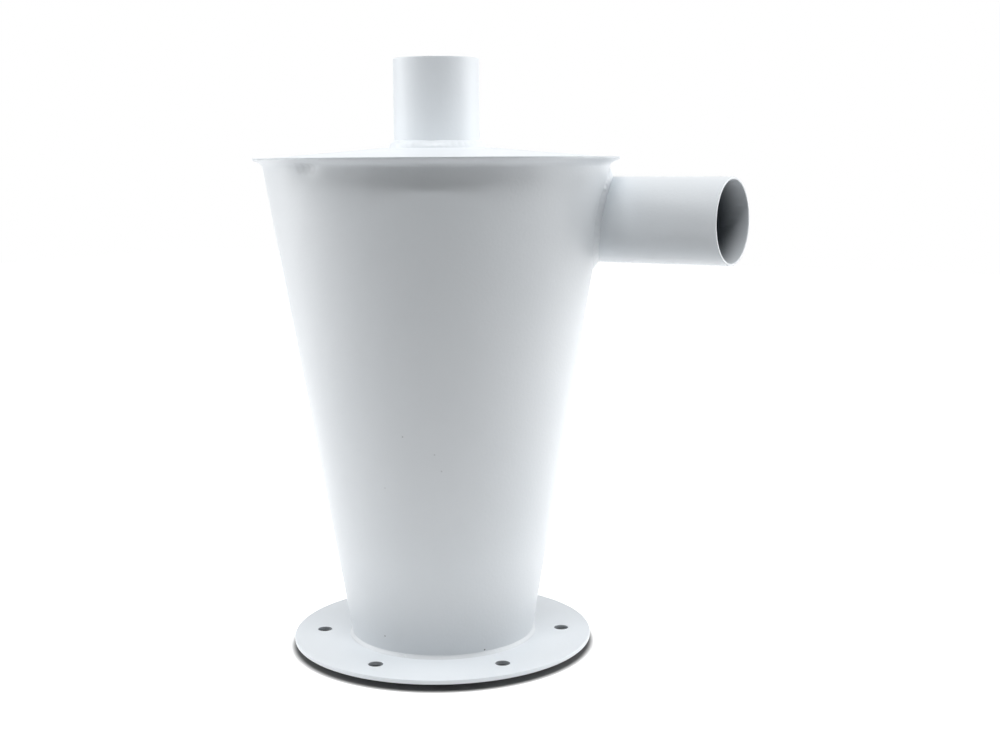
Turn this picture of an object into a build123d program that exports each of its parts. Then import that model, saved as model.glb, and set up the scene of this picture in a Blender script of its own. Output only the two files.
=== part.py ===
"""Cyclone dust separator, in millimetres.

Z is the cone's axis, X runs outward along the inlet tube, and Z = 0 is the underside of the base flange.
"""

import os
from math import acos, atan2, cos, degrees, hypot, radians, sin, tan

from build123d import *

# Stock: sheet for the cone and lid, tube for both connectors, plate for the flange
sheet = 0.8
tube_r = 25.0
tube_wall = 1.5
flange_t = 2.5

# Cone: outside radius at the flange's top, height from there to the rim's top, spigot left under the flange
foot_r = 54.8
body_h = 286.0
spigot_drop = 4.0

# Rim: outside radius, run and rise in degrees of the flared lip, bend radius under it, height of its blunt edge
rim_r = 107.0
lip_run = 4.0
lip_rise = 25.0
lip_r = 3.5
lip_edge = 0.4

# Lid: flat edge ring, rise to the middle, flat land around the outlet tube
lid_ring = 9.0
lid_rise = 5.3
lid_land = 9.0

# Outlet tube: length over the lid, and reach of the inside end below the inlet
outlet_h = 51.2
finder_reach = 20.0

# Inlet tube: gap from its bead to the lip's bend, far side's set-in from the cone, reach of the mouth past the cone
inlet_gap = 2.0
inlet_inset = 20.6
inlet_reach = 69.0

# Base flange: width beyond the cone, and its bolt holes from the outer edge inward
flange_width = 35.2
bolt_edge = 17.5
bolt_r = 4.25
bolt_count = 6
bolt_turn = 31.5

# Legs of the weld beads: up the outlet tube and out on the lid, and both ways at the flange and the inlet
outlet_leg = 4.5
outlet_toe = 3.0
flange_leg = 2.0
inlet_leg = 4.0

# Slack of a tube or cone in the hole it passes through, and of the flange's bead at the cone
slip_fit = 0.15
bead_fit = 0.02

# Rim heights and the centre of the bend under the flared lip
flare = radians(lip_rise)
rim_z = flange_t + body_h
lip_top = rim_z - sheet
lip_under = lip_top - lip_edge
bend_z = lip_under - lip_run * tan(flare) - lip_r * cos(flare)
bend_r = rim_r - lip_run + lip_r * sin(flare)

# Lean of the cone: its outside runs from the foot and is tangent to the lip's bend
bend_out = bend_r - foot_r
bend_up = bend_z - flange_t
lean = acos(lip_r / hypot(bend_out, bend_up)) - atan2(bend_up, bend_out)


def cone_r(z):
    """Outside radius of the straight cone at a height."""
    return foot_r + (z - flange_t) * tan(lean)


# Other sizes that follow
spigot_z = -spigot_drop
wall_across = sheet / cos(lean)
bore_r = tube_r - tube_wall
flange_r = foot_r + flange_width
bolt_circle_r = flange_r - bolt_edge
crown_z = rim_z + lid_rise
crown_under = crown_z - sheet
land_r = tube_r + lid_land
ring_r = rim_r - lid_ring
lid_hole_r = tube_r + slip_fit
outlet_z = crown_z + outlet_h
inlet_z = bend_z + lip_r * sin(lean) - inlet_gap - inlet_leg - tube_r
inlet_y = cone_r(inlet_z) - inlet_inset - tube_r / cos(lean)
inlet_x = cone_r(inlet_z) + inlet_reach
finder_z = inlet_z - tube_r - finder_reach
inlet_plane = Plane(origin=(0, inlet_y, inlet_z), x_dir=(0, 1, 0), z_dir=(1, 0, 0))

# Space that the straight cone takes up, for the pieces that are cut to it
with BuildPart() as cone_body:
    with BuildSketch(Plane.XZ):
        with BuildLine():
            foot = (cone_r(spigot_z), spigot_z)
            Polyline((0, spigot_z), foot, (cone_r(rim_z), rim_z), (0, rim_z), close=True)
        make_face()
    revolve(axis=Axis.Z)

# Space that the inlet tube takes up, out to its mouth
with BuildPart() as inlet_body:
    with BuildSketch(inlet_plane):
        Circle(tube_r)
    extrude(amount=inlet_x)

# Cone shell with its flared lip and the inlet's opening
with BuildPart() as cone_shell:
    with BuildSketch(Plane.XZ):
        with BuildLine():
            bend_from = 180 - degrees(lean)
            bend_by = lip_rise + degrees(lean) - 90
            outer_bend = CenterArc((bend_r, bend_z), lip_r, bend_from, bend_by)
            inner_bend = CenterArc((bend_r, bend_z), lip_r + sheet, bend_from, bend_by)
            outer_foot = (cone_r(spigot_z), spigot_z)
            inner_foot = (cone_r(spigot_z) - wall_across, spigot_z)
            lip_from = inner_bend @ 1
            seat_r = lip_from.X + (lip_top - lip_from.Y) / tan(flare)
            Polyline(outer_bend @ 1, (rim_r, lip_under), (rim_r, lip_top), (seat_r, lip_top), lip_from)
            Polyline(inner_bend @ 0, inner_foot, outer_foot, outer_bend @ 0)
        make_face()
    revolve(axis=Axis.Z)
    with BuildSketch(inlet_plane):
        Circle(bore_r)
    extrude(amount=inlet_x, mode=Mode.SUBTRACT)

# Dished lid: a flat edge on the lip, a shallow slope and a flat land around the outlet tube
with BuildPart() as lid:
    with BuildSketch(Plane.XZ):
        with BuildLine():
            upper = [(rim_r, rim_z), (ring_r, rim_z), (land_r, crown_z), (lid_hole_r, crown_z)]
            lower = [(lid_hole_r, crown_under), (land_r, crown_under), (ring_r, lip_top), (rim_r, lip_top)]
            Polyline(*upper, *lower, close=True)
        make_face()
    revolve(axis=Axis.Z)

# Outlet tube, which runs on inside the cone as the vortex finder
with BuildPart() as outlet_tube:
    with BuildSketch(Plane.XY.offset(finder_z)):
        Circle(tube_r)
        Circle(bore_r, mode=Mode.SUBTRACT)
    extrude(amount=outlet_z - finder_z)

# Inlet tube, cut to the cone it runs into
with BuildPart() as inlet_tube:
    add(inlet_body.part)
    with BuildSketch(inlet_plane):
        Circle(bore_r)
    extrude(amount=inlet_x, mode=Mode.SUBTRACT)
    add(cone_body.part, mode=Mode.SUBTRACT)

# Base flange with its bolt holes
with BuildPart() as base_flange:
    with BuildSketch(Plane.XY):
        Circle(flange_r)
        Circle(foot_r + slip_fit, mode=Mode.SUBTRACT)
        with PolarLocations(bolt_circle_r, bolt_count, start_angle=bolt_turn):
            Circle(bolt_r, mode=Mode.SUBTRACT)
    extrude(amount=flange_t)

# Weld bead around the outlet tube, on the lid's land
with BuildPart() as outlet_weld:
    with BuildSketch(Plane.XZ):
        with BuildLine():
            Polyline((tube_r, crown_z), (tube_r + outlet_toe, crown_z), (tube_r, crown_z + outlet_leg), close=True)
        make_face()
    revolve(axis=Axis.Z)

# Weld bead around the foot of the cone, on the flange
with BuildPart() as flange_weld:
    with BuildSketch(Plane.XZ):
        with BuildLine():
            root_r = foot_r + bead_fit
            head_z = flange_t + flange_leg
            head = (cone_r(head_z) + bead_fit, head_z)
            Polyline((root_r, flange_t), (foot_r + flange_leg, flange_t), head, close=True)
        make_face()
    revolve(axis=Axis.Z)

# Weld bead around the inlet: the corner between tube and cone, filled in, less the two of them
with BuildPart() as inlet_weld:
    add(cone_body.part)
    add(inlet_body.part)
    chamfer(inlet_weld.edges(Select.LAST).filter_by(GeomType.BSPLINE), length=inlet_leg)
    add(inlet_body.part, mode=Mode.SUBTRACT)
    add(cone_body.part, mode=Mode.SUBTRACT)

# Each piece is written to a file of its own
pieces = {
    "cone_shell": cone_shell,
    "lid": lid,
    "outlet_tube": outlet_tube,
    "inlet_tube": inlet_tube,
    "base_flange": base_flange,
    "outlet_weld": outlet_weld,
    "flange_weld": flange_weld,
    "inlet_weld": inlet_weld,
}
os.makedirs("parts", exist_ok=True)
for name, piece in pieces.items():
    piece.part.label = name
    export_step(piece.part, f"parts/{name}.step")
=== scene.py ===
"""Cyclone dust separator, dressed: sheet cone, lid, two hose tubes, drilled flange plate and weld beads.

Sizes in the classes are millimetres and meshes are metres, in the frame of the solids: Z runs up the cone's
axis, X outward along the inlet tube, and Z = 0 is the underside of the flange plate.
"""

import logging
from collections.abc import Iterable, Sequence
from dataclasses import dataclass, field
from enum import Enum
from functools import cache, reduce
from math import acos, atan2, cos, dist, exp, hypot, pi, radians, sin, tan, tau

import bmesh
import bpy
import numpy as np
from mathutils import Matrix, Vector


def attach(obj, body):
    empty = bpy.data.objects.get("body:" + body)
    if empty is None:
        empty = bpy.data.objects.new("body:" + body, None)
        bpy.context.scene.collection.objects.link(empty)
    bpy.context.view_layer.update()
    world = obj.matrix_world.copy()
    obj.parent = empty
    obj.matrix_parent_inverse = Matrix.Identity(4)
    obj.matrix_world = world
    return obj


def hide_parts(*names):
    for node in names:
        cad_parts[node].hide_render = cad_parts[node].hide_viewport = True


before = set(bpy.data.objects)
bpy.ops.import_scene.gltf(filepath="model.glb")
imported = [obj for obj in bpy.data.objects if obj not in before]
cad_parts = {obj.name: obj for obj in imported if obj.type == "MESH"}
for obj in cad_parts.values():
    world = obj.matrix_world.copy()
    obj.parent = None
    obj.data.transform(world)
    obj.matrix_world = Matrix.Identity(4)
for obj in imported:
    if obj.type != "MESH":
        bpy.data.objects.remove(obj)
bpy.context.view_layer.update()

log = logging.getLogger("cyclone")
MM = 0.001

# Steps around a spun wall
CONE_TURN, LID_TURN, TUBE_TURN = 360, 240, 192
# How far from their axis the cutters start, and how far beside a rounded corner its last points stand at most
NEAR_AXIS, BESIDE = 0.01, 0.3

Point = tuple[float, float]
Spot = tuple[float, float, float]
Colour = tuple[float, float, float, float]
Material = bpy.types.Material
Node = bpy.types.Node
NodeTree = bpy.types.NodeTree
Shape = bpy.types.Object
Socket = bpy.types.NodeSocket


class Kind(Enum):
    """Kinds of socket that the trees and groups put on their outside."""

    GEOMETRY = "NodeSocketGeometry"
    NUMBER = "NodeSocketFloat"
    COUNT = "NodeSocketInt"
    VECTOR = "NodeSocketVector"
    COLOUR = "NodeSocketColor"
    MATERIAL = "NodeSocketMaterial"


class Tree(Enum):
    """Kinds of node tree."""

    GEOMETRY = "GeometryNodeTree"
    SHADER = "ShaderNodeTree"


class Side(Enum):
    """Sides of the sheet."""

    OUTER = "outer"
    INNER = "inner"


class Bench:
    """A node tree on the bench, with short calls that add nodes and join them."""

    def __init__(self, tree: NodeTree) -> None:
        """Take up a tree."""
        self.tree = tree

    @classmethod
    def bare(cls, owner: Material | bpy.types.World) -> "Bench":
        """Take up a tree with nothing on it.

        Args:
            owner: The material or the surroundings that the tree belongs to.

        Returns:
            The bench.
        """
        owner.use_nodes = True
        owner.node_tree.nodes.clear()
        return cls(owner.node_tree)

    def join(self, feed: object, socket: Socket) -> None:
        """Join a socket to another, or set its value.

        Args:
            feed: The socket that it takes its value from, or the value.
            socket: The socket that is fed.
        """
        if isinstance(feed, Socket):
            self.tree.links.new(feed, socket)
        else:
            socket.default_value = feed

    def add(self, kind: str, feeds: dict[str | int, object] | None = None, **settings: object) -> Node:
        """Add a node.

        Args:
            kind: The node's type.
            feeds: For a socket's name or number, the value or the socket that it takes.
            settings: The node's own settings.

        Returns:
            The new node.
        """
        node = self.tree.nodes.new(kind)
        for name, value in settings.items():
            setattr(node, name, value)
        for key, feed in (feeds or {}).items():
            self.join(feed, node.inputs[key])
        return node

    def number(self, operation: str, *feeds: object) -> Socket:
        """Work out a number."""
        return self.add("ShaderNodeMath", dict(enumerate(feeds)), operation=operation).outputs[0]

    def product(self, *feeds: object) -> Socket:
        """Multiply two or more numbers."""
        return reduce(lambda result, feed: self.number("MULTIPLY", result, feed), feeds)

    def vector(self, operation: str, *feeds: object) -> Socket:
        """Work out a vector, or the number that vectors give."""
        node = self.add("ShaderNodeVectorMath", dict(enumerate(feeds)), operation=operation)
        return next(socket for socket in node.outputs if socket.enabled)

    def scaled(self, vector: object, factor: object) -> Socket:
        """Make a vector longer or shorter by a factor."""
        node = self.add("ShaderNodeVectorMath", {"Vector": vector, "Scale": factor}, operation="SCALE")
        return node.outputs[0]

    def blend(self, share: object, first: object, second: object) -> Socket:
        """Blend two colours by the second one's share."""
        return self.add("ShaderNodeMix", {0: share, 6: first, 7: second}, data_type="RGBA").outputs[2]

    def grouped(self, tree: NodeTree, feeds: dict[str, object]) -> bpy.types.NodeOutputs:
        """Place a shared shader group and give its outputs."""
        return self.add("ShaderNodeGroup", feeds, node_tree=tree).outputs

    def noise(self, place: object, size: object, seed: object, detail: float = 0.0) -> Socket:
        """Work out smooth noise about zero.

        Args:
            place: Where it is read.
            size: Length of one patch in metres.
            seed: Picks the noise.
            detail: Finer noise on top.

        Returns:
            A value from about -1 to 1.
        """
        scale = self.number("DIVIDE", 1.0, size)
        feeds = {"Vector": place, "W": seed, "Scale": scale, "Detail": detail}
        texture = self.add("ShaderNodeTexNoise", feeds, noise_dimensions="4D")
        return self.number("MULTIPLY_ADD", texture.outputs[0], 2.0, -1.0)

    def fade(self, value: object, start: object, end: object, before: float, after: float) -> Socket:
        """Go smoothly from one value to another.

        Args:
            value: What drives it.
            start: Value at which the change begins.
            end: Value at which it ends.
            before: Result up to the start.
            after: Result from the end on.

        Returns:
            The result's socket.
        """
        feeds = {"Value": value, "From Min": start, "From Max": end, "To Min": before, "To Max": after}
        return self.add("ShaderNodeMapRange", feeds, interpolation_type="SMOOTHSTEP").outputs[0]


class Group(Bench):
    """A new node group on the bench, with the sockets on its outside."""

    def __init__(self, name: str, tree: Tree, inputs: dict[str, Kind], outputs: dict[str, Kind]) -> None:
        """Start the group.

        Args:
            name: Name of the group.
            tree: Whether it works on shapes or on finishes.
            inputs: Kind of each named input.
            outputs: Kind of each named output.
        """
        super().__init__(bpy.data.node_groups.new(name, tree.value))
        for side, sockets in (("INPUT", inputs), ("OUTPUT", outputs)):
            for title, kind in sockets.items():
                self.tree.interface.new_socket(title, in_out=side, socket_type=kind.value)
        self.given = self.add("NodeGroupInput").outputs
        self.result = self.add("NodeGroupOutput").inputs


@dataclass(frozen=True)
class Stock:
    """Sheet, tube and plate that the separator is made from."""

    sheet: float = 0.8
    tube_r: float = 25.0
    tube_wall: float = 1.5
    plate: float = 2.5
    slip_fit: float = 0.15

    @property
    def bore_r(self) -> float:
        """Inside radius of both tubes."""
        return self.tube_r - self.tube_wall


@dataclass(frozen=True)
class Layout:
    """Main sizes, and the heights and radii that follow from them."""

    stock: Stock = Stock()
    foot_r: float = 54.8
    body_h: float = 286.0
    spigot_drop: float = 4.0
    rim_r: float = 107.0
    lip_run: float = 4.0
    lip_rise_deg: float = 25.0
    lip_r: float = 3.5
    lip_edge: float = 0.4
    lid_rise: float = 5.3
    inlet_gap: float = 2.0
    inlet_inset: float = 20.6
    inlet_leg: float = 4.0
    inlet_reach: float = 69.0

    @property
    def rim_z(self) -> float:
        """Height of the lid's flat edge."""
        return self.stock.plate + self.body_h

    @property
    def crown_z(self) -> float:
        """Height of the lid's middle."""
        return self.rim_z + self.lid_rise

    @property
    def lip_top(self) -> float:
        """Height of the lip's top, where the lid lies."""
        return self.rim_z - self.stock.sheet

    @property
    def flare(self) -> float:
        """Rise of the lip in radians."""
        return radians(self.lip_rise_deg)

    @property
    def bend(self) -> Point:
        """Radius and height of the centre of the lip's bend."""
        under = self.lip_top - self.lip_edge
        z = under - self.lip_run * tan(self.flare) - self.lip_r * cos(self.flare)
        return self.rim_r - self.lip_run + self.lip_r * sin(self.flare), z

    @property
    def lean(self) -> float:
        """Lean of the cone's wall in radians, tangent to the lip's bend."""
        out, up = self.bend[0] - self.foot_r, self.bend[1] - self.stock.plate
        return acos(self.lip_r / hypot(out, up)) - atan2(up, out)

    def cone_r(self, z: float) -> float:
        """Outside radius of the cone's straight wall at a height."""
        return self.foot_r + (z - self.stock.plate) * tan(self.lean)

    @property
    def inlet(self) -> Spot:
        """Middle of the inlet's mouth."""
        wall_end = self.bend[1] + self.lip_r * sin(self.lean)
        z = wall_end - self.inlet_gap - self.inlet_leg - self.stock.tube_r
        y = self.cone_r(z) - self.inlet_inset - self.stock.tube_r / cos(self.lean)
        return self.cone_r(z) + self.inlet_reach, y, z


LAYOUT = Layout()


class Finishing:
    """Node groups that more than one finish uses, each built once."""

    # Peel: size and height of its broad swell, against the fine one
    SWELL_SIZE, SWELL_HEIGHT = 4.5, 0.8
    # Tone: sizes of its patches, and the span of noise over which each effect comes in
    BROAD, PATCH, GRAIN = 70 * MM, 26 * MM, 2.2 * MM
    SHADED, RUBBED, SPECKLED = (-0.5, 0.6), (0.38, 0.75), (-0.3, 0.7)
    # Bore, painted shade inside a tube: width of its edge, and its share right at the mouth
    BORE_EDGE, MOUTH_SHARE = 0.3 * MM, 0.1

    @staticmethod
    @cache
    def peel() -> NodeTree:
        """Give the orange peel of sprayed powder as a height.

        Returns:
            The group.
        """
        inputs = {"Place": Kind.VECTOR, "Size": Kind.NUMBER, "Seed": Kind.NUMBER}
        bench = Group("orange_peel", Tree.SHADER, inputs, {"Height": Kind.NUMBER})
        place, size, seed = (bench.given[name] for name in inputs)
        fine = bench.noise(place, size, seed, 1.0)
        broad = bench.noise(place, bench.product(size, Finishing.SWELL_SIZE), seed)
        bench.join(bench.number("MULTIPLY_ADD", broad, Finishing.SWELL_HEIGHT, fine), bench.result["Height"])
        return bench.tree

    @staticmethod
    @cache
    def tone() -> NodeTree:
        """Give the coat's colour and gloss, which drift a little, with faint smudges.

        Returns:
            The group.
        """
        inputs = {"Place": Kind.VECTOR, "Colour": Kind.COLOUR, "Shade": Kind.COLOUR, "Smudge": Kind.COLOUR,
                  "Roughness": Kind.NUMBER, "Drift": Kind.NUMBER, "Seed": Kind.NUMBER}
        bench = Group("coat_tone", Tree.SHADER, inputs, {"Colour": Kind.COLOUR, "Roughness": Kind.NUMBER})
        given, place, seed = bench.given, bench.given["Place"], bench.given["Seed"]
        broad = bench.noise(place, Finishing.BROAD, seed, 2.0)
        patch = bench.noise(place, Finishing.PATCH, bench.number("ADD", seed, 7.0), 3.0)
        grain = bench.noise(place, Finishing.GRAIN, bench.number("ADD", seed, 3.0), 1.0)
        shaded = bench.fade(broad, *Finishing.SHADED, 0.0, 1.0)
        tinted = bench.blend(shaded, given["Colour"], given["Shade"])
        speckled = bench.fade(grain, *Finishing.SPECKLED, 0.3, 1.0)
        rubbed = bench.product(bench.fade(patch, *Finishing.RUBBED, 0.0, 0.5), speckled)
        bench.join(bench.blend(rubbed, tinted, given["Smudge"]), bench.result["Colour"])
        sway = bench.number("MULTIPLY_ADD", grain, 0.5, patch)
        gloss = bench.number("MULTIPLY_ADD", sway, given["Drift"], given["Roughness"])
        bench.join(gloss, bench.result["Roughness"])
        return bench.tree

    @staticmethod
    @cache
    def bore() -> NodeTree:
        """Mask the inside of a tube, which is darkened as painted shade, more so deeper in from the mouth.

        Returns:
            The group.
        """
        inputs = {"Place": Kind.VECTOR, "Mouth": Kind.VECTOR, "Inward": Kind.VECTOR, "Radius": Kind.NUMBER,
                  "Reach": Kind.NUMBER}
        bench = Group("tube_bore", Tree.SHADER, inputs, {"Mask": Kind.NUMBER})
        place, mouth, inward, radius, reach = (bench.given[name] for name in inputs)
        offset = bench.vector("SUBTRACT", place, mouth)
        deep = bench.vector("DOT_PRODUCT", offset, inward)
        across = bench.vector("LENGTH", bench.vector("SUBTRACT", offset, bench.scaled(inward, deep)))
        inside = bench.fade(across, radius, bench.number("ADD", radius, Finishing.BORE_EDGE), 1.0, 0.0)
        shaded_deeper = bench.fade(deep, 0.0, reach, Finishing.MOUTH_SHARE, 1.0)
        bench.join(bench.product(inside, shaded_deeper), bench.result["Mask"])
        return bench.tree


@dataclass(frozen=True)
class Mark:
    """Dark dot in the coat, even over its core: a pinhole, a speck of dust, or a wider, faint mark of painted
    shade.
    """

    place: Spot
    radius: float = 0.45
    strength: float = 1.0
    colour: Colour = (0.03, 0.03, 0.035, 1.0)
    core: float = 0.5


@dataclass(frozen=True)
class Bore:
    """Inside of a tube, darkened as painted shade."""

    mouth: Spot
    inward: Spot
    radius: float
    reach: float = 20.0
    # Colour of the painted shade deep inside the tube
    colour: Colour = (0.11, 0.125, 0.14, 1.0)


@dataclass(frozen=True)
class PowderCoat:
    """White satin powder coat over steel, as sprayed and baked on one kind of surface."""

    name: str
    colour: Colour = (0.83, 0.868, 0.902, 1.0)
    shade: Colour = (0.814, 0.856, 0.891, 1.0)
    smudge: Colour = (0.72, 0.747, 0.775, 1.0)
    roughness: float = 0.4
    drift: float = 0.05
    peel_size: float = 1.9
    peel_depth: float = 0.04
    seed: float = 0.0
    marks: tuple[Mark, ...] = ()
    bore: Bore | None = None
    # Painted shade towards the foot of a wall: the heights over which it fades out, its share at the foot,
    # and its colour
    painted_shade_z: Point = (0.0, 1.0)
    painted_shade_share: float = 0.0
    painted_shade_colour: Colour = (0.08, 0.085, 0.09, 1.0)

    @cache
    def material(self) -> Material:
        """Build the material.

        Returns:
            The coat, with its colour and gloss from the shared tone and its bumps from the shared peel.
        """
        made = bpy.data.materials.new(self.name)
        bench = Bench.bare(made)
        place = bench.add("ShaderNodeTexCoord").outputs["Object"]
        tone = bench.grouped(Finishing.tone(), {
            "Place": place, "Colour": self.colour, "Shade": self.shade, "Smudge": self.smudge,
            "Roughness": self.roughness, "Drift": self.drift, "Seed": self.seed})
        feeds = {"Place": place, "Size": self.peel_size * MM, "Seed": self.seed}
        peel = bench.grouped(Finishing.peel(), feeds)
        bump = bench.add("ShaderNodeBump", {"Distance": self.peel_depth * MM, "Height": peel["Height"]})
        colour = self.worn(bench, place, tone["Colour"])
        feeds = {"Base Color": colour, "Roughness": tone["Roughness"], "Normal": bump.outputs[0]}
        coat = bench.add("ShaderNodeBsdfPrincipled", feeds)
        bench.add("ShaderNodeOutputMaterial", {"Surface": coat.outputs[0]})
        return made

    def worn(self, bench: Bench, place: Socket, colour: Socket) -> Socket:
        """Darken the coat with painted shade towards the foot of a wall and inside a tube, and put its few
        specks and pinholes on it.

        Args:
            bench: The material under way.
            place: Place on the surface.
            colour: The coat's colour.

        Returns:
            The colour, darker with painted shade towards the foot of a wall and inside a tube, with a dot at
            each mark.
        """
        # Painted shade: the coat goes darker towards the foot of the wall, in the corner with the plate
        if self.painted_shade_share > 0.0:
            height = bench.vector("DOT_PRODUCT", place, (0.0, 0.0, 1.0))
            share = bench.fade(height, *(z * MM for z in self.painted_shade_z), self.painted_shade_share, 0.0)
            colour = bench.blend(share, colour, self.painted_shade_colour)
        if self.bore is not None:
            mask = bench.grouped(Finishing.bore(), {
                "Place": place, "Mouth": [c * MM for c in self.bore.mouth], "Inward": self.bore.inward,
                "Radius": self.bore.radius * MM, "Reach": self.bore.reach * MM})
            colour = bench.blend(mask["Mask"], colour, self.bore.colour)
        # Each mark darkens a dot; the wide, faint ones are painted shade
        for mark in self.marks:
            away = bench.vector("DISTANCE", place, [c * MM for c in mark.place])
            dot = bench.fade(away, mark.core * mark.radius * MM, mark.radius * MM, mark.strength, 0.0)
            colour = bench.blend(dot, colour, mark.colour)
        return colour


def titled(name: str) -> str:
    """Turn the name of a field into that of a tree's input."""
    return name.replace("_", " ").capitalize()


def linked(name: str, data: bpy.types.ID) -> Shape:
    """Make an object and put it in the scene.

    Args:
        name: Name of the object.
        data: The mesh, lamp or camera that it shows.

    Returns:
        The new object.
    """
    shape = bpy.data.objects.new(name, data)
    bpy.context.scene.collection.objects.link(shape)
    return shape


def wire(name: str, points: Sequence[Sequence[float]], carried: dict[str, np.ndarray]) -> Shape:
    """Lay a row of points as an object for a tree to work on.

    Args:
        name: Name of the object.
        points: The points in millimetres.
        carried: Vectors that each point carries, by name.

    Returns:
        The new object.
    """
    mesh = bpy.data.meshes.new(name)
    edges = [(i, i + 1) for i in range(len(points) - 1)]
    mesh.from_pydata([[c * MM for c in point] for point in points], edges, [])
    for title, values in carried.items():
        layer = mesh.attributes.new(title, "FLOAT_VECTOR", "POINT")
        layer.data.foreach_set("vector", np.asarray(values, dtype=np.float32).ravel())
    return linked(name, mesh)


def fit_tree(shape: Shape, tree: NodeTree, values: dict[str, object]) -> None:
    """Put a geometry tree on a shape and set its inputs by their identifiers.

    Args:
        shape: The object.
        tree: The tree.
        values: Value of each named input.
    """
    modifier = shape.modifiers.new(tree.name, "NODES")
    modifier.node_group = tree
    for item in tree.interface.items_tree:
        if item.item_type == "SOCKET" and item.in_out == "INPUT" and item.name in values:
            modifier[item.identifier] = values[item.name]


def settle(shape: Shape, sharp_deg: float = 42.0, turn: Matrix | None = None) -> Shape:
    """Make a shape a plain closed mesh, with its modifiers worked in.

    Args:
        shape: The object.
        sharp_deg: Edges that turn by more than this stay sharp.
        turn: Moves the mesh to its place.

    Returns:
        The same object.
    """
    bpy.context.view_layer.update()
    worked = shape.evaluated_get(bpy.context.evaluated_depsgraph_get())
    mesh = bpy.data.meshes.new_from_object(worked)
    shape.modifiers.clear()
    shape.data = mesh
    while mesh.materials and mesh.materials[0] is None:
        mesh.materials.pop(index=0)
    if turn is not None:
        mesh.transform(turn)
    body = bmesh.new()
    body.from_mesh(mesh)
    bmesh.ops.recalc_face_normals(body, faces=body.faces)
    body.to_mesh(mesh)
    body.free()
    mesh.shade_smooth()
    mesh.set_sharp_from_angle(angle=radians(sharp_deg))
    return shape


def carve(shape: Shape, cutter: Shape) -> None:
    """Take one shape out of another and throw the cutter away.

    Args:
        shape: The object that is cut.
        cutter: The object that cuts it.
    """
    modifier = shape.modifiers.new("cut", "BOOLEAN")
    modifier.operation = "DIFFERENCE"
    modifier.solver = "EXACT"
    modifier.object = cutter
    settle(shape)
    bpy.data.objects.remove(cutter)


def place_piece(shape: Shape, *nodes: str) -> None:
    """Hand a finished piece over in place of its solids.

    Args:
        shape: The piece.
        nodes: Names of the solids it stands for.
    """
    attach(shape, "root")
    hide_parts(*nodes)
    log.info("%s: %d faces, for %s", shape.name, len(shape.data.polygons), ", ".join(nodes))


class ShapeGroup(Group):
    """A new geometry tree on the bench, with what such trees do, and how near to each other doubles are."""

    MERGE = 0.01 * MM

    def close(self, shape: Socket, title: str) -> NodeTree:
        """End the tree: doubles merged, instances made real and the coat put on.

        Args:
            shape: The shape so far.
            title: Name of the tree's output.

        Returns:
            The finished tree, which has an input named Coat.
        """
        merged = self.add("GeometryNodeMergeByDistance", {"Geometry": shape, "Distance": self.MERGE})
        real = self.add("GeometryNodeRealizeInstances", {"Geometry": merged.outputs[0]})
        feeds = {"Geometry": real.outputs[0], "Material": self.given["Coat"]}
        self.join(self.add("GeometryNodeSetMaterial", feeds).outputs[0], self.result[title])
        return self.tree

    def sheet_of(self, across: object, along: object) -> tuple[Socket, Socket, Socket]:
        """Lay a flat sheet of points in rows and columns.

        Args:
            across: Number of rows.
            along: Number of columns.

        Returns:
            The sheet, and each point's row and column.
        """
        grid = self.add("GeometryNodeMeshGrid", {"Vertices X": along, "Vertices Y": across}).outputs[0]
        index = self.add("GeometryNodeInputIndex").outputs[0]
        column = self.number("FLOOR", self.number("DIVIDE", self.number("ADD", index, 0.5), across))
        return grid, self.number("MODULO", index, across), column

    def sample(self, source: Socket, value: Socket, index: Socket) -> Socket:
        """Read a vector that one point of a row carries."""
        feeds = {"Geometry": source, "Value": value, "Index": index}
        return self.add("GeometryNodeSampleIndex", feeds, data_type="FLOAT_VECTOR", domain="POINT").outputs[0]

    def carried(self, name: str) -> Socket:
        """Name a vector that points carry."""
        kind = "GeometryNodeInputNamedAttribute"
        return self.add(kind, {"Name": name}, data_type="FLOAT_VECTOR").outputs[0]

    def together(self, *parts: Socket) -> Socket:
        """Put shapes together as one.

        Args:
            parts: The shapes.

        Returns:
            All of them.
        """
        whole = self.add("GeometryNodeJoinGeometry")
        for part in parts:
            self.join(part, whole.inputs[0])
        return whole.outputs[0]


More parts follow.
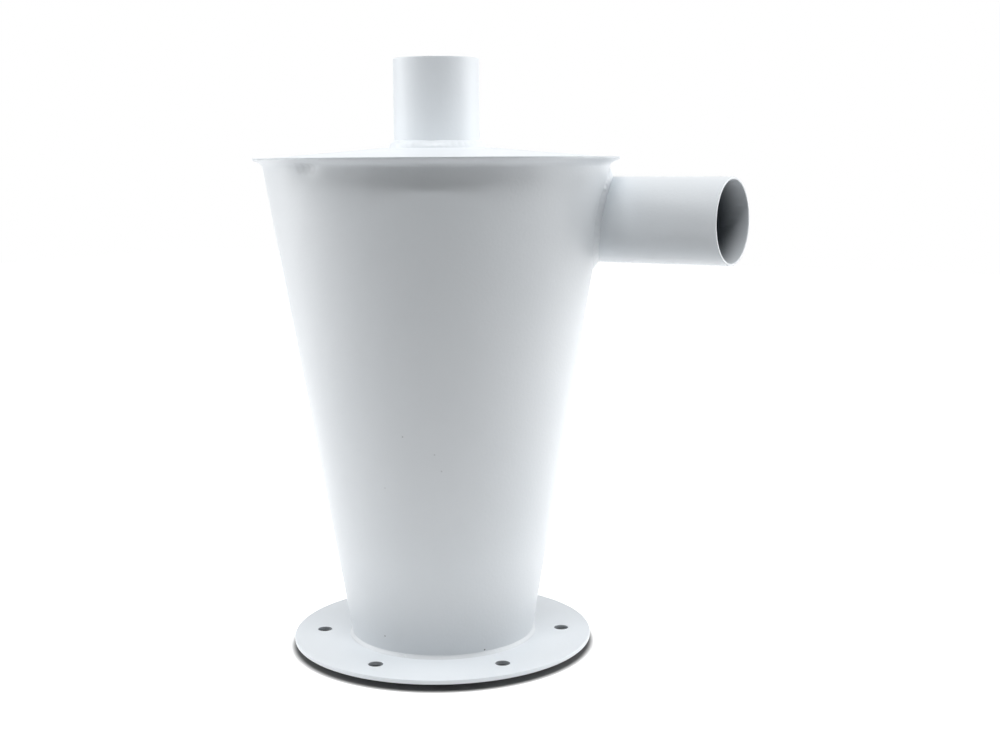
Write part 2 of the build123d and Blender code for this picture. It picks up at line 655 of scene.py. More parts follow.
class Trees:
    """Geometry trees, each built once."""

    @staticmethod
    @cache
    def spun_wall() -> NodeTree:
        """Spin a closed row of points about Z into a wall.

        Each point carries push, the way it gives where the wall is uneven, and spot, the way it gives at one
        place.

        Returns:
            The tree.
        """
        inputs = {"Profile": Kind.GEOMETRY, "Segments": Kind.COUNT, "Unevenness": Kind.NUMBER,
                  "Patch size": Kind.NUMBER, "Seed": Kind.NUMBER, "Spot angle": Kind.NUMBER,
                  "Spot width": Kind.NUMBER, "Spot depth": Kind.NUMBER, "Coat": Kind.MATERIAL}
        bench = ShapeGroup("spun_wall", Tree.GEOMETRY, inputs, {"Wall": Kind.GEOMETRY})
        given, profile = bench.given, bench.given["Profile"]
        size = bench.add("GeometryNodeAttributeDomainSize", {"Geometry": profile}, component="MESH")
        columns = bench.number("ADD", given["Segments"], 1.0)
        grid, row, column = bench.sheet_of(size.outputs["Point Count"], columns)
        angle = bench.product(bench.number("DIVIDE", column, given["Segments"]), tau)
        position = bench.add("GeometryNodeInputPosition").outputs[0]
        turned = []
        for value in (position, bench.carried("push"), bench.carried("spot")):
            feeds = {"Vector": bench.sample(profile, value, row), "Angle": angle}
            turned.append(bench.add("ShaderNodeVectorRotate", feeds, rotation_type="Z_AXIS").outputs[0])
        place, push, spot = turned
        wave = bench.product(bench.noise(place, given["Patch size"], given["Seed"], 2.0), given["Unevenness"])
        off = bench.number("SUBTRACT", angle, given["Spot angle"])
        off = bench.number("DIVIDE", off, given["Spot width"])
        swell = bench.number("EXPONENT", bench.product(off, off, -1.0))
        depth = bench.product(swell, given["Spot depth"])
        shift = bench.vector("ADD", bench.scaled(push, wave), bench.scaled(spot, depth))
        moved = bench.add("GeometryNodeSetPosition", {"Geometry": grid, "Position": place, "Offset": shift})
        return bench.close(moved.outputs[0], "Wall")

    @staticmethod
    @cache
    def weld_bead() -> NodeTree:
        """Lay a weld bead along a closed path in the corner between two surfaces.

        Each point of the path carries along_a and along_b, which run from the corner along each surface.

        Returns:
            The tree.
        """
        inputs = {"Path": Kind.GEOMETRY, "Leg a": Kind.NUMBER, "Leg b": Kind.NUMBER, "Bulge": Kind.NUMBER,
                  "Sink": Kind.NUMBER, "Ripples": Kind.COUNT, "Ripple height": Kind.NUMBER,
                  "Unevenness": Kind.NUMBER, "Lump size": Kind.NUMBER, "Lump height": Kind.NUMBER,
                  "Seed": Kind.NUMBER, "Restart place": Kind.VECTOR, "Restart reach": Kind.NUMBER,
                  "Restart height": Kind.NUMBER, "Coat": Kind.MATERIAL}
        bench = ShapeGroup("weld_bead", Tree.GEOMETRY, inputs, {"Bead": Kind.GEOMETRY})
        given, path, seed = bench.given, bench.given["Path"], bench.given["Seed"]
        face_rows, loop_rows, ripple_bow, spatter_share = 12, 13, 0.35, 0.3
        lump_pick, spatter_pick = 21.0, 40.0
        size = bench.add("GeometryNodeAttributeDomainSize", {"Geometry": path}, component="MESH")
        count = size.outputs["Point Count"]
        grid, line, column = bench.sheet_of(loop_rows + 1, bench.number("ADD", count, 1.0))
        row = bench.number("MODULO", line, float(loop_rows))
        station = bench.number("MODULO", column, count)
        corner = bench.sample(path, bench.add("GeometryNodeInputPosition").outputs[0], station)
        along = [bench.sample(path, bench.carried(name), station) for name in ("along_a", "along_b")]
        outward = bench.vector("NORMALIZE", bench.vector("ADD", *along))
        across = bench.number("MINIMUM", bench.number("DIVIDE", row, face_rows - 1.0), 1.0)
        rest = bench.number("SUBTRACT", 1.0, across)
        face = corner
        for way, share, leg, pick in ((along[0], rest, "Leg a", 2.0), (along[1], across, "Leg b", 7.0)):
            stray = bench.noise(corner, given["Lump size"], bench.number("ADD", seed, pick), 1.0)
            swing = bench.number("MULTIPLY_ADD", stray, given["Unevenness"], 1.0)
            reach = bench.product(swing, given[leg], share)
            face = bench.vector("ADD", face, bench.scaled(way, reach))
        crown = bench.product(across, rest, 4.0)
        turn = bench.number("DIVIDE", bench.product(column, given["Ripples"]), count)
        bowed = bench.number("MULTIPLY_ADD", crown, ripple_bow, turn)
        ripple = bench.number("ABSOLUTE", bench.number("SINE", bench.product(bowed, pi)))
        lump = bench.noise(face, given["Lump size"], bench.number("ADD", seed, lump_pick))
        away = bench.vector("DISTANCE", face, given["Restart place"])
        near = bench.fade(away, 0.0, given["Restart reach"], 1.0, 0.0)
        spatter = bench.product(given["Restart reach"], spatter_share)
        rough = bench.noise(face, spatter, bench.number("ADD", seed, spatter_pick), 1.0)
        raised = bench.number("MULTIPLY_ADD", ripple, given["Ripple height"], given["Bulge"])
        raised = bench.number("MULTIPLY_ADD", lump, given["Lump height"], raised)
        raised = bench.number("MULTIPLY_ADD", bench.product(near, rough), given["Restart height"], raised)
        toes = bench.product(given["Sink"], bench.number("SUBTRACT", 1.0, crown))
        lift = bench.number("SUBTRACT", bench.product(raised, crown), toes)
        top = bench.vector("ADD", face, bench.scaled(outward, lift))
        root = bench.vector("SUBTRACT", corner, bench.scaled(outward, given["Sink"]))
        under = bench.number("GREATER_THAN", row, face_rows - 0.5)
        place = bench.add("ShaderNodeMix", {0: under, 4: top, 5: root}, data_type="VECTOR").outputs[1]
        moved = bench.add("GeometryNodeSetPosition", {"Geometry": grid, "Position": place})
        return bench.close(moved.outputs[0], "Bead")

    @staticmethod
    @cache
    def drilled_plate() -> NodeTree:
        """Cut a flat ring with a circle of bolt holes and give it its thickness.

        Returns:
            The tree.
        """
        inputs = {"Blank": Kind.GEOMETRY, "Outer radius": Kind.NUMBER, "Inner radius": Kind.NUMBER,
                  "Thickness": Kind.NUMBER, "Hole radius": Kind.NUMBER, "Hole circle": Kind.NUMBER,
                  "Holes": Kind.COUNT, "Hole turn": Kind.NUMBER, "Coat": Kind.MATERIAL}
        bench = ShapeGroup("drilled_plate", Tree.GEOMETRY, inputs, {"Plate": Kind.GEOMETRY})
        given = bench.given
        rings = []
        for name, steps in (("Outer radius", 288), ("Inner radius", 192), ("Hole radius", 48)):
            feeds = {"Resolution": steps, "Radius": given[name]}
            rings.append(bench.add("GeometryNodeCurvePrimitiveCircle", feeds).outputs[0])
        feeds = {"Vertices": given["Holes"], "Radius": given["Hole circle"]}
        spots = bench.add("GeometryNodeMeshCircle", feeds).outputs[0]
        turn = bench.add("ShaderNodeCombineXYZ", {"Z": given["Hole turn"]}).outputs[0]
        turned = bench.add("GeometryNodeTransform", {"Geometry": spots, "Rotation": turn}).outputs[0]
        drilled = bench.add("GeometryNodeInstanceOnPoints", {"Points": turned, "Instance": rings.pop()})
        holes = bench.add("GeometryNodeRealizeInstances", {"Geometry": drilled.outputs[0]}).outputs[0]
        outline = bench.together(*rings, holes)
        blank = bench.add("GeometryNodeFillCurve", {"Curve": outline}).outputs[0]
        up = bench.add("ShaderNodeCombineXYZ", {"Z": given["Thickness"]}).outputs[0]
        feeds = {"Mesh": blank, "Offset": up, "Offset Scale": 1.0, "Individual": False}
        raised = bench.add("GeometryNodeExtrudeMesh", feeds).outputs[0]
        under = bench.add("GeometryNodeFlipFaces", {"Mesh": blank}).outputs[0]
        return bench.close(bench.together(raised, under), "Plate")


@dataclass
class Profile:
    """Closed row of points that a wall is spun from, with how each point gives."""

    points: list[Point] = field(default_factory=list)
    push: list[Point] = field(default_factory=list)
    spot: list[Point] = field(default_factory=list)

    def add(self, points: Iterable[Point], push: Point = (0.0, 0.0), spot: Point = (0.0, 0.0)) -> None:
        """Add points that all give alike.

        Args:
            points: Radius and height of each.
            push: How far they go with the wall's unevenness, along the radius and up.
            spot: How far they go at the wall's one marked place.
        """
        for point in points:
            self.points.append(point)
            self.push.append(push)
            self.spot.append(spot)

    def spin(self, name: str, coat: Material | None, **values: float) -> Shape:
        """Spin the row into a wall.

        Args:
            name: Name of the piece.
            coat: Its material.
            values: The tree's inputs, with words joined by underscores.

        Returns:
            The wall, its tree still live.
        """
        rows = (self.points, self.push, self.spot)
        points, push, spot = ([(r, 0.0, z) for r, z in [*row, row[0]]] for row in rows)
        shape = wire(name, points, {"push": push, "spot": spot})
        settings = {"Segments": LID_TURN, "Unevenness": 0.0, "Patch size": 0.04, "Seed": 1.0,
                    "Spot angle": 1.0, "Spot width": 0.1, "Spot depth": 0.0, "Coat": coat}
        settings.update({titled(key): value for key, value in values.items()})
        fit_tree(shape, Trees.spun_wall(), settings)
        return shape


def rounded(corners: Sequence[Point], radii: Sequence[float], steps: int = 4) -> list[Point]:
    """Round the corners of a closed row of points.

    Args:
        corners: The sharp corners.
        radii: Radius at each, 0 for a sharp one.
        steps: Number of steps around each bend.

    Returns:
        The rounded row, with a point just outside each bend that keeps the walls beside it straight.
    """
    row: list[Point] = []
    for i, radius in enumerate(radii):
        here = Vector(corners[i])
        if radius <= 0.0:
            row.append(tuple(here))
            continue
        back = (Vector(corners[i - 1]) - here).normalized()
        ahead = (Vector(corners[(i + 1) % len(corners)]) - here).normalized()
        half = back.angle(ahead) / 2.0
        run, beside = radius / tan(half), min(0.5 * radius, BESIDE)
        centre = here + (back + ahead).normalized() * (radius / sin(half))
        start, end = here + back * run, here + ahead * run
        row.append(tuple(start + back * beside))
        for k in range(steps + 1):
            row.append(tuple(centre + (start.lerp(end, k / steps) - centre).normalized() * radius))
        row.append(tuple(end + ahead * beside))
    return row


def ladder(start: Point, end: Point, step: float) -> list[Point]:
    """Divide a straight run into even steps of about one length, both ends included."""
    count = max(1, round(dist(start, end) / step))
    return [tuple(np.add(start, np.subtract(end, start) * (k / count))) for k in range(count + 1)]


def divided(row: Sequence[Point], step: float) -> list[Point]:
    """Divide each run of a closed row of points into even steps.

    Args:
        row: The points.
        step: Length of a step, about.

    Returns:
        The finer row.
    """
    fine: list[Point] = []
    for start, end in zip(row, [*row[1:], row[0]]):
        fine.extend(ladder(start, end, step)[:-1])
    return fine


@dataclass
class ConeBody:
    """Rolled sheet cone with its flared lip, and the dished lid that lies on it."""

    layout: Layout = LAYOUT
    edge_r: float = 0.3
    lip_edge_r: float = 0.16
    rim_trim: float = 0.04
    row_step: float = 4.0
    lip_step: float = 0.9
    foot_free: float = 2.0
    tip_free: float = 0.64
    wall_give: float = 0.22
    unevenness: float = 1.0
    patch: float = 42.0
    stiff_z: float = 12.0
    stiff_run: float = 60.0
    bend_points: int = 11
    bend_lift: float = 1.0
    bend_reach: float = 3.5
    tip_reach: float = 3.5
    seam_deg: float = 259.0
    seam_width_deg: float = 5.0
    seam_depth: float = 1.9
    seam_reach: float = 2.4
    lid_ring: float = 9.0
    lid_land: float = 9.0
    lid_bend_r: float = 14.0
    lid_bend_steps: int = 6
    lid_step: float = 3.0
    lid_unevenness: float = 0.35
    lid_patch: float = 50.0
    # The sheet's coat is darkened towards the cone's foot as painted shade
    coat: PowderCoat = PowderCoat("coat_on_sheet", marks=(
        Mark((101.44, -5.86, 286.37), 0.5, 0.8),
        Mark((-2.86, -56.54, 13.5), 0.5, 0.9),
        Mark((47.44, -28.04, 5.6), 0.65, 0.95),
        Mark((23.73, -73.16, 136.6), 0.6, 0.3),
        Mark((38.86, -64.44, 126.49), 0.6, 0.22),
        Mark((41.12, -61.11, 116.84), 0.6, 0.22),
        Mark((9.8, -71.19, 105.94), 0.6, 0.16),
        # Painted shade in the seam's dent under the lip: three wide, faint marks
        Mark((-23.58, -98.2, 283.2), 4.5, 0.1),
        Mark((-18.93, -99.2, 283.2), 4.8, 0.13),
        Mark((-14.06, -100.0, 283.0), 4.5, 0.1),
    ), painted_shade_z=(3.0, 62.0), painted_shade_share=0.24)
    lid_coat: PowderCoat = PowderCoat("coat_on_lid", seed=4.0)

    def bend(self, side: Side) -> list[Point]:
        """Points around the lip's bend, from the wall's end to the start of the flare.

        Args:
            side: Side of the sheet.

        Returns:
            Radius and height of each.
        """
        (r, z), lay = self.layout.bend, self.layout
        radius = lay.lip_r + (lay.stock.sheet if side is Side.INNER else 0.0)
        angles = np.linspace(pi - lay.lean, pi / 2.0 + lay.flare, self.bend_points)
        return [(r + radius * cos(a), z + radius * sin(a)) for a in angles]

    def climb(self, side: Side) -> list[Point]:
        """Points up one side of the sheet, from just over the foot to the end of the flare.

        Args:
            side: Side of the sheet.

        Returns:
            Radius and height of each.
        """
        lay, bend = self.layout, self.bend(side)
        low = self.foot_free - lay.spigot_drop
        inset, top = 0.0, lay.lip_top - lay.lip_edge - self.tip_free * tan(lay.flare)
        if side is Side.INNER:
            inset, top = lay.stock.sheet / cos(lay.lean), lay.lip_top
        end = (bend[-1][0] + (top - bend[-1][1]) / tan(lay.flare), top)
        wall = ladder((lay.cone_r(low) - inset, low), bend[0], self.row_step)
        return [*wall[:-1], *bend, *ladder(bend[-1], end, self.lip_step)[1:]]

    def at_bend(self, z: float, reach: float) -> float:
        """How near a height is to the lip's bend: 1 at it, and falling off over the reach."""
        return exp(-(((z - self.layout.bend[1] - self.bend_lift) / reach) ** 2))

    def give(self, z: float) -> float:
        """How far the wall gives at a height: none at the foot, some up the wall, most at the lip's bend.

        Args:
            z: Height.

        Returns:
            Share of the unevenness.
        """
        rise = min(max((z - self.stiff_z) / self.stiff_run, 0.0), 1.0)
        end = min(max((self.layout.lip_top - z) / self.tip_reach, 0.0), 1.0)
        return (self.wall_give * rise + (1.0 - self.wall_give) * self.at_bend(z, self.bend_reach)) * end

    def shell(self) -> Shape:
        """Build the cone, with the opening that the inlet blows through.

        Returns:
            The piece.
        """
        lay, edge = self.layout, self.edge_r
        outer, inner = self.climb(Side.OUTER), self.climb(Side.INNER)
        low, rim = -lay.spigot_drop, lay.rim_r - self.rim_trim
        across = lay.stock.sheet / cos(lay.lean)
        foot = [inner[0], (lay.cone_r(low) - across, low), (lay.cone_r(low), low), outer[0]]
        tip = [outer[-1], (rim, lay.lip_top - lay.lip_edge), (rim, lay.lip_top), inner[-1]]
        profile = Profile()
        profile.add(rounded(foot, [0.0, edge, edge, 0.0])[1:-1])
        for r, z in outer:
            profile.add([(r, z)], (self.give(z), 0.0), (-self.at_bend(z, self.seam_reach), 0.0))
        profile.add(rounded(tip, [0.0, self.lip_edge_r, self.lip_edge_r, 0.0])[1:-1])
        for r, z in reversed(inner):
            profile.add([(r, z)], (self.give(z), 0.0), (-self.at_bend(z, self.seam_reach), 0.0))
        shape = profile.spin("cone_shell_sheet", self.coat.material(), segments=CONE_TURN,
                             unevenness=self.unevenness * MM, patch_size=self.patch * MM, seed=3.0,
                             spot_angle=radians(self.seam_deg),
                             spot_width=radians(self.seam_width_deg), spot_depth=self.seam_depth * MM)
        settle(shape)
        carve(shape, InletTube(layout=lay).cutter())
        return shape

    def lid(self) -> Shape:
        """Build the lid: a flat edge on the lip, a shallow slope and a land around the outlet tube.

        Returns:
            The piece.
        """
        lay, bend, edge = self.layout, self.lid_bend_r, self.edge_r
        hole, land = lay.stock.tube_r + lay.stock.slip_fit, lay.stock.tube_r + self.lid_land
        rim, ring = lay.rim_r - self.rim_trim, lay.rim_r - self.lid_ring
        upper = [(rim, lay.rim_z), (ring, lay.rim_z), (land, lay.crown_z), (hole, lay.crown_z)]
        corners = [*upper, *[(r, z - lay.stock.sheet) for r, z in reversed(upper)]]
        row = rounded(corners, [edge, bend, bend, 0.0, 0.0, bend, bend, edge], self.lid_bend_steps)
        profile = Profile()
        for r, z in divided(row, self.lid_step):
            weight = max(0.0, sin(pi * (r - hole) / (rim - hole)))
            profile.add([(r, z)], (0.0, weight))
        shape = profile.spin("lid_sheet", self.lid_coat.material(), unevenness=self.lid_unevenness * MM,
                             patch_size=self.lid_patch * MM, seed=8.0)
        return settle(shape)


@dataclass
class HoseTube:
    """Straight hose tube with softened ends."""

    layout: Layout = LAYOUT
    edge_r: float = 0.45
    row_step: float = 5.0

    def coat(self, name: str, mouth: Spot, inward: Spot) -> Material:
        """Coat the tube, darkened inside as painted shade, from the middle of its mouth and the way into it.
        """
        bore = Bore(mouth, inward, self.layout.stock.tube_r - 0.5 * self.layout.stock.tube_wall)
        return PowderCoat(name, peel_size=2.2, peel_depth=0.03, seed=9.0, bore=bore).material()

    def stand(self, name: str, low: float, high: float, coat: Material) -> Shape:
        """Build the tube upright on Z.

        Args:
            name: Name of the piece.
            low: Height of its lower end.
            high: Height of its upper end.
            coat: Its material.

        Returns:
            The tube, its tree still live.
        """
        outer, inner = self.layout.stock.tube_r, self.layout.stock.bore_r
        corners = [(outer, low), (outer, high), (inner, high), (inner, low)]
        profile = Profile()
        profile.add(divided(rounded(corners, [self.edge_r] * 4), self.row_step))
        return profile.spin(name, coat, segments=TUBE_TURN)


@dataclass
class OutletTube(HoseTube):
    """Tube through the lid, which runs on inside the cone."""

    outlet_h: float = 51.2
    finder_reach: float = 20.0

    def build(self) -> Shape:
        """Build the tube in its place.

        Returns:
            The piece.
        """
        low = self.layout.inlet[2] - self.layout.stock.tube_r - self.finder_reach
        high = self.layout.crown_z + self.outlet_h
        coat = self.coat("coat_on_outlet", (0.0, 0.0, high), (0.0, 0.0, -1.0))
        return settle(self.stand("outlet_tube_pipe", low, high, coat))


@dataclass
class InletTube(HoseTube):
    """Tube that blows into the cone along its wall, cut to the cone."""

    def lay_down(self) -> Matrix:
        """Turn from upright on Z to along X, on the inlet's axis."""
        _, y, z = self.layout.inlet
        return Matrix.Translation(Vector((0.0, y, z)) * MM) @ Matrix.Rotation(pi / 2.0, 4, "Y")

    def build(self) -> Shape:
        """Build the tube and cut it to the cone.

        Returns:
            The piece.
        """
        lay = self.layout
        coat = self.coat("coat_on_inlet", lay.inlet, (-1.0, 0.0, 0.0))
        shape = settle(self.stand("inlet_tube_pipe", 0.0, lay.inlet[0], coat), turn=self.lay_down())
        low, high = 0.0, lay.inlet[2] + 2.0 * lay.stock.tube_r
        body = Profile()
        body.add([(NEAR_AXIS, low), (lay.cone_r(low), low), (lay.cone_r(high), high), (NEAR_AXIS, high)])
        carve(shape, settle(body.spin("cone_space", None, segments=CONE_TURN)))
        return shape

    def cutter(self) -> Shape:
        """Build the space of the bore, from the cone's middle out.

        Returns:
            The cutter.
        """
        inner, reach = self.layout.stock.bore_r, self.layout.inlet[0]
        rod = Profile()
        rod.add([(NEAR_AXIS, 0.0), (inner, 0.0), (inner, reach), (NEAR_AXIS, reach)])
        return settle(rod.spin("bore_space", None, segments=TUBE_TURN), turn=self.lay_down())


@dataclass
class BaseFlange:
    """Flat plate ring around the cone's foot, drilled for bolts."""

    layout: Layout = LAYOUT
    width: float = 35.2
    hole_edge: float = 17.5
    hole_r: float = 4.25
    holes: int = 6
    hole_turn_deg: float = 31.5
    edge_r: float = 0.35
    edge_deg: float = 50.0
    edge_steps: int = 3
    level_share: float = 0.999
    upright_share: float = 0.5
    rim_band: float = 1.0
    coat: PowderCoat = PowderCoat("coat_on_plate", peel_size=2.4, seed=15.0)
    # The bolt holes' walls get a darker coat: painted shade inside the holes
    painted_shade_hole_coat: PowderCoat = PowderCoat(
        "coat_in_holes_painted_shade", (0.33, 0.35, 0.37, 1.0), (0.3, 0.32, 0.34, 1.0), (0.25, 0.26, 0.28, 1.0), seed=17.0)

    def build(self) -> Shape:
        """Build the plate.

        Returns:
            The piece.
        """
        stock, foot_r = self.layout.stock, self.layout.foot_r
        outer = foot_r + self.width
        shape = wire("base_flange_plate", [(0.0, 0.0, 0.0), (1.0, 0.0, 0.0)], {})
        values = {"Outer radius": outer * MM, "Inner radius": (foot_r + stock.slip_fit) * MM,
                  "Thickness": stock.plate * MM, "Hole radius": self.hole_r * MM,
                  "Hole circle": (outer - self.hole_edge) * MM, "Holes": self.holes,
                  "Hole turn": radians(self.hole_turn_deg), "Coat": self.coat.material()}
        fit_tree(shape, Trees.drilled_plate(), values)
        softened = shape.modifiers.new("softened", "BEVEL")
        softened.width = self.edge_r * MM
        softened.segments = self.edge_steps
        softened.limit_method = "ANGLE"
        softened.angle_limit = radians(self.edge_deg)
        settle(shape, self.edge_deg)
        # Upright faces inside the holes take the darker coat, which is painted shade
        shape.data.materials.append(self.painted_shade_hole_coat.material())
        for face in shape.data.polygons:
            face.use_smooth = abs(face.normal.z) < self.level_share
            reach = face.center.xy.length / MM - foot_r
            if abs(face.normal.z) < self.upright_share and self.rim_band < reach < self.width - self.rim_band:
                face.material_index = 1
        return shape


@dataclass
class WeldBead:
    """Hand-laid bead, uneven along its length."""

    name: str
    leg_a: float
    leg_b: float
    bulge: float
    ripples: int
    ripple_height: float = 0.25
    unevenness: float = 0.22
    lump_size: float = 7.0
    lump_height: float = 0.5
    sink: float = 0.25
    seed: float = 1.0
    restart: Spot = (0.0, 0.0, 0.0)
    restart_reach: float = 6.0
    restart_height: float = 0.0
    coat: PowderCoat = PowderCoat("coat_on_bead", roughness=0.34, peel_size=1.3, peel_depth=0.05, seed=21.0)
    sharp_deg: float = 60.0

    def lay_on(self, corner: np.ndarray, along_a: np.ndarray, along_b: np.ndarray) -> Shape:
        """Lay the bead.

        Args:
            corner: Points along the corner, without the first one again at the end.
            along_a: At each, the way along one surface, away from the corner.
            along_b: The way along the other surface.

        Returns:
            The piece.
        """
        shape = wire(self.name, corner, {"along_a": along_a, "along_b": along_b})
        values = {"Restart place": [c * MM for c in self.restart], "Coat": self.coat.material()}
        for name in ("leg_a", "leg_b", "bulge", "sink", "ripple_height", "lump_size", "lump_height",
                     "restart_reach", "restart_height"):
            values[titled(name)] = getattr(self, name) * MM
        for name in ("ripples", "unevenness", "seed"):
            values[titled(name)] = getattr(self, name)
        fit_tree(shape, Trees.weld_bead(), values)
        return settle(shape, self.sharp_deg)


@dataclass
class Welds:
    """The three beads that hold the separator together."""

    layout: Layout = LAYOUT
    steps: int = 480
    at_outlet: WeldBead = field(default_factory=lambda: WeldBead(
        "outlet_weld_bead", 3.2, 4.6, 0.35, 40, 0.2, 0.2, 14.0, 0.4, seed=2.0))
    at_flange: WeldBead = field(default_factory=lambda: WeldBead(
        "flange_weld_bead", 2.3, 2.3, -0.5, 90, 0.04, 0.16, 12.0, 0.12, 0.12, seed=5.0,
        restart=(9.2, -56.0, 3.4), restart_reach=6.0, restart_height=1.3,
        # A darker coat on the flange bead: painted shade in the corner between cone and plate
        coat=PowderCoat("coat_on_foot_bead_painted_shade", (0.72, 0.75, 0.775, 1.0), (0.7, 0.73, 0.755, 1.0), seed=23.0)))
    at_inlet: WeldBead = field(default_factory=lambda: WeldBead(
        "inlet_weld_bead", 5.6, 2.8, -0.1, 44, 0.25, 0.2, 7.0, 0.45, seed=11.0))

    def ring(self, bead: WeldBead, radius: float, z: float, rise: Point) -> Shape:
        """Lay a bead around an upright wall.

        Args:
            bead: The bead.
            radius: Radius of the corner.
            z: Height of the corner.
            rise: The way up the wall, along the radius and up.

        Returns:
            The piece.
        """
        turn = np.linspace(0.0, tau, self.steps, endpoint=False)
        out = np.stack([np.cos(turn), np.sin(turn), np.zeros_like(turn)], axis=1)
        up = np.array([0.0, 0.0, 1.0])
        return bead.lay_on(out * radius + up * z, out, out * rise[0] + up * rise[1])

    def outlet(self) -> Shape:
        """Lay the bead around the outlet tube, on the lid."""
        return self.ring(self.at_outlet, self.layout.stock.tube_r, self.layout.crown_z, (0.0, 1.0))

    def flange(self) -> Shape:
        """Lay the small bead around the cone's foot, on the plate."""
        rise = (sin(self.layout.lean), cos(self.layout.lean))
        return self.ring(self.at_flange, self.layout.foot_r, self.layout.stock.plate, rise)

    def inlet(self) -> Shape:
        """Lay the bead around the inlet tube, where it meets the cone.

        Returns:
            The piece.
        """
        lay = self.layout
        turn = np.linspace(0.0, tau, self.steps, endpoint=False)
        tube_out = np.stack([np.zeros_like(turn), np.cos(turn), np.sin(turn)], axis=1)
        y, z = (lay.inlet[k] + lay.stock.tube_r * tube_out[:, k] for k in (1, 2))
        radius = np.array([lay.cone_r(height) for height in z])
        x = np.sqrt(radius**2 - y**2)
        corner = np.stack([x, y, z], axis=1)
        cone_out = np.stack([x / radius, y / radius, np.full_like(x, -tan(lay.lean))], axis=1)
        cone_out /= np.linalg.norm(cone_out, axis=1, keepdims=True)
        ahead = np.roll(corner, -1, axis=0) - np.roll(corner, 1, axis=0)
        ahead /= np.linalg.norm(ahead, axis=1, keepdims=True)
        along_cone, along_tube = np.cross(cone_out, ahead), np.cross(tube_out, ahead)
        along_cone *= np.sign(np.sum(along_cone * tube_out, axis=1, keepdims=True))
        along_tube *= np.sign(np.sum(along_tube * cone_out, axis=1, keepdims=True))
        return self.at_inlet.lay_on(corner, along_cone, along_tube)


@dataclass(frozen=True)
class Lamp:
    """Soft lamp. Its place and aim are as seen by the camera: right, back and up, in metres."""

    name: str
    place: Spot
    size: Point
    power: float
    aim: Spot = (0.0, 0.0, 0.17)


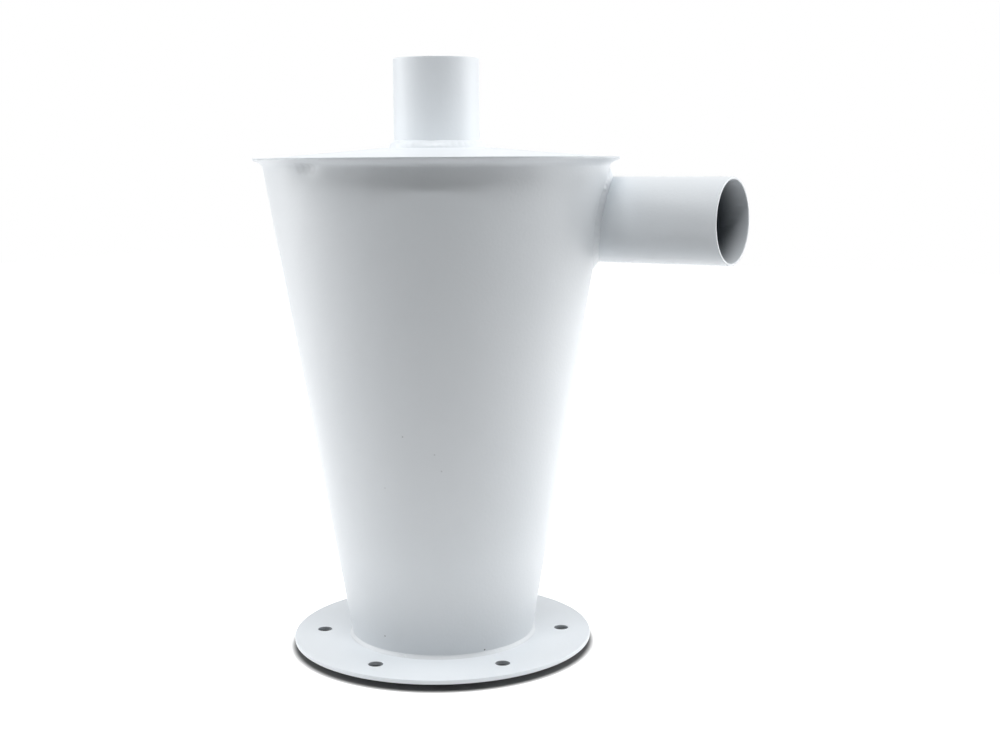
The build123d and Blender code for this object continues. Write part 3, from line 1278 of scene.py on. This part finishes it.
@dataclass
class Studio:
    """Plain pale floor, soft lamps, white surroundings and the camera."""

    floor_z: float = -4.0
    floor_size: float = 6.0
    lens: float = 51.214
    sensor: float = 36.0
    clip_start: float = 0.02
    stand: Spot = (468.95, -700.63, 285.4646)
    yaw_deg: float = 31.3519
    pitch_deg: float = 8.5063
    roll_deg: float = -0.3604
    fill: float = 0.065
    bounce: Point = (0.95, 0.05)
    front_edge: Point = (0.3, 0.4)
    far_edge: Point = (0.9, 1.3)
    # Painted shadow on the floor: the radii over which it ends, and its tone
    shadow_r: Point = (0.0885, 0.0955)
    shadow_tone: float = 0.16
    floor_tone: float = 0.97
    near_glow: float = 0.72
    far_glow_r: Point = (0.15, 0.4)
    lamps: tuple[Lamp, ...] = (
        Lamp("top_box", (0.0, 0.2, 1.4), (1.2, 1.2), 1.5),
        Lamp("key_box", (0.0, -0.654, 1.44), (0.9, 0.06), 10.0),
        Lamp("left_box", (-1.3, 0.0, 0.4), (1.0, 1.0), 5.1),
        Lamp("left_mid_box", (-1.25, 0.45, 0.4), (0.8, 0.8), 3.2),
        Lamp("right_box", (1.3, 0.0, 0.4), (1.0, 1.0), 5.4),
        Lamp("right_mid_box", (1.25, 0.45, 0.4), (0.8, 0.8), 4.4),
        Lamp("right_back_box", (0.9, 1.0, 0.5), (1.0, 1.0), 1.1),
        Lamp("left_high_box", (-0.9, 0.1, 1.1), (0.8, 0.8), 3.6),
        Lamp("right_high_box", (0.9, 0.1, 1.1), (0.8, 0.8), 2.9),
    )

    def camera(self) -> None:
        """Set up the camera at the photograph's angle."""
        data = bpy.data.cameras.new("studio_camera")
        data.lens = self.lens
        data.sensor_width = self.sensor
        data.sensor_fit = "HORIZONTAL"
        data.clip_start = self.clip_start
        camera = linked("studio_camera", data)
        camera.matrix_world = Matrix.Translation(Vector(self.stand) * MM)
        for deg, axis in ((self.yaw_deg, "Z"), (90.0 - self.pitch_deg, "X"), (self.roll_deg, "Z")):
            camera.matrix_world = camera.matrix_world @ Matrix.Rotation(radians(deg), 4, axis)
        bpy.context.scene.camera = camera

    def floor(self) -> None:
        """Lay the floor, white to the eye, with a painted shadow under and beside the flange, where its
        colour is darker and it does not glow.
        """
        half, z = self.floor_size / 2.0, self.floor_z * MM
        corners = [(-half, -half, z), (half, -half, z), (half, half, z), (-half, half, z)]
        mesh = bpy.data.meshes.new("studio_floor")
        mesh.from_pydata(corners, [], [(0, 1, 2, 3)])
        made = bpy.data.materials.new("pale_floor")
        bench = Bench.bare(made)
        place, yaw = bench.add("ShaderNodeTexCoord").outputs["Object"], radians(self.yaw_deg)
        away = bench.vector("LENGTH", place)
        ahead = bench.vector("DOT_PRODUCT", place, (sin(yaw), -cos(yaw), 0.0))
        # Painted shadow: within the shadow radii the floor's colour is dark and it does not glow
        tone = bench.fade(away, *self.shadow_r, self.shadow_tone, self.floor_tone)
        near = bench.fade(away, *self.shadow_r, 0.0, self.near_glow)
        glow = bench.number("ADD", near, bench.fade(away, *self.far_glow_r, 0.0, 1.0 - self.near_glow))
        lit = bench.add("ShaderNodeBsdfDiffuse", {"Color": tone})
        shine = bench.add("ShaderNodeEmission", {"Strength": glow})
        seen = bench.add("ShaderNodeAddShader", {0: lit.outputs[0], 1: shine.outputs[0]})
        near_side = bench.fade(ahead, *self.front_edge, *self.bounce)
        all_round = bench.fade(away, *self.far_edge, *self.bounce)
        plain = bench.add("ShaderNodeBsdfDiffuse", {"Color": bench.number("MINIMUM", near_side, all_round)})
        self.shown(bench, plain, seen, "ShaderNodeOutputMaterial")
        mesh.materials.append(made)
        floor = linked("studio_floor", mesh)

    @staticmethod
    def shown(bench: Bench, plain: Node, seen: Node, output: str) -> None:
        """Show one shader to the eye and in reflections, and another to the rest of the light.

        Args:
            bench: The material or surroundings under way.
            plain: Shader for the rest of the light.
            seen: Shader for the eye, reflections and glass.
            output: Type of the output node.
        """
        ray = bench.add("ShaderNodeLightPath").outputs
        mirrored = bench.number("MAXIMUM", ray["Is Glossy Ray"], ray["Is Transmission Ray"])
        looked_at = bench.number("MAXIMUM", ray["Is Camera Ray"], mirrored)
        mix = bench.add("ShaderNodeMixShader", {0: looked_at, 1: plain.outputs[0], 2: seen.outputs[0]})
        bench.add(output, {"Surface": mix.outputs[0]})

    def surroundings(self) -> None:
        """Make the surroundings white to the eye and a soft fill for the rest."""
        world = bpy.data.worlds.new("studio_surroundings")
        bench = Bench.bare(world)
        feeds = {"Color": (1.0, 1.0, 1.0, 1.0)}
        white, soft = (bench.add("ShaderNodeBackground", {**feeds, "Strength": strength})
                       for strength in (1.0, self.fill))
        self.shown(bench, soft, white, "ShaderNodeOutputWorld")
        bpy.context.scene.world = world

    def light(self) -> None:
        """Hang the lamps."""
        turn = Matrix.Rotation(radians(self.yaw_deg), 3, "Z")
        for lamp in self.lamps:
            data = bpy.data.lights.new(lamp.name, "AREA")
            data.shape = "RECTANGLE"
            data.size, data.size_y = lamp.size
            data.energy = lamp.power
            hung = linked(lamp.name, data)
            spot, aim = turn @ Vector(lamp.place), turn @ Vector(lamp.aim)
            facing = (aim - spot).to_track_quat("-Z", "Y")
            hung.matrix_world = Matrix.Translation(spot) @ facing.to_matrix().to_4x4()
            hung.visible_camera = False

    def build(self) -> None:
        """Set up the whole studio."""
        bpy.context.scene.view_settings.view_transform = "Standard"
        self.floor()
        self.surroundings()
        self.light()
        self.camera()


def main() -> None:
    """Build the pieces in order, then the studio, and note the sizes."""
    logging.basicConfig(level=logging.INFO, format="%(name)s: %(message)s")
    cone, welds = ConeBody(), Welds()
    place_piece(cone.shell(), "cone_shell")
    place_piece(cone.lid(), "lid")
    place_piece(OutletTube().build(), "outlet_tube")
    place_piece(InletTube().build(), "inlet_tube")
    place_piece(BaseFlange().build(), "base_flange")
    place_piece(welds.outlet(), "outlet_weld")
    place_piece(welds.flange(), "flange_weld")
    place_piece(welds.inlet(), "inlet_weld")
    Studio().build()


if __name__ == "__main__":
    main()
